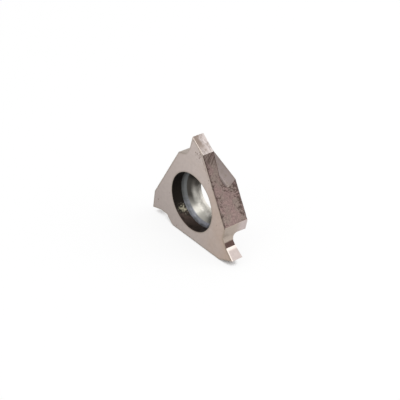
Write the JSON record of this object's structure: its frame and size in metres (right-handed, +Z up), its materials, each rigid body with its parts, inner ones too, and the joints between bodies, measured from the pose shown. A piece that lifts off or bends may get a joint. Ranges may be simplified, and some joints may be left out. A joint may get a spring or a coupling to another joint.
{
  "type": "carbide grooving insert",
  "caption": "Triangular side-mounted carbide grooving insert with chip gullets, a narrow cutting tip at each corner and a countersunk screw hole.",
  "frame": {"origin": "on the axis of the screw hole, in the plane of the seating face at the back", "axes": "+Z up, square to the long side that the insert stands on; +Y along the screw hole, out of the seating face; +X to the right along that long side"},
  "size_m": [0.0141, 0.0032, 0.0129],
  "materials": {
    "coated_carbide": "ground tungsten carbide under a thin satin grey-mauve coating"
  },
  "bodies": {
    "root": {"insert_body": "coated_carbide"}
  },
  "joints": []
}
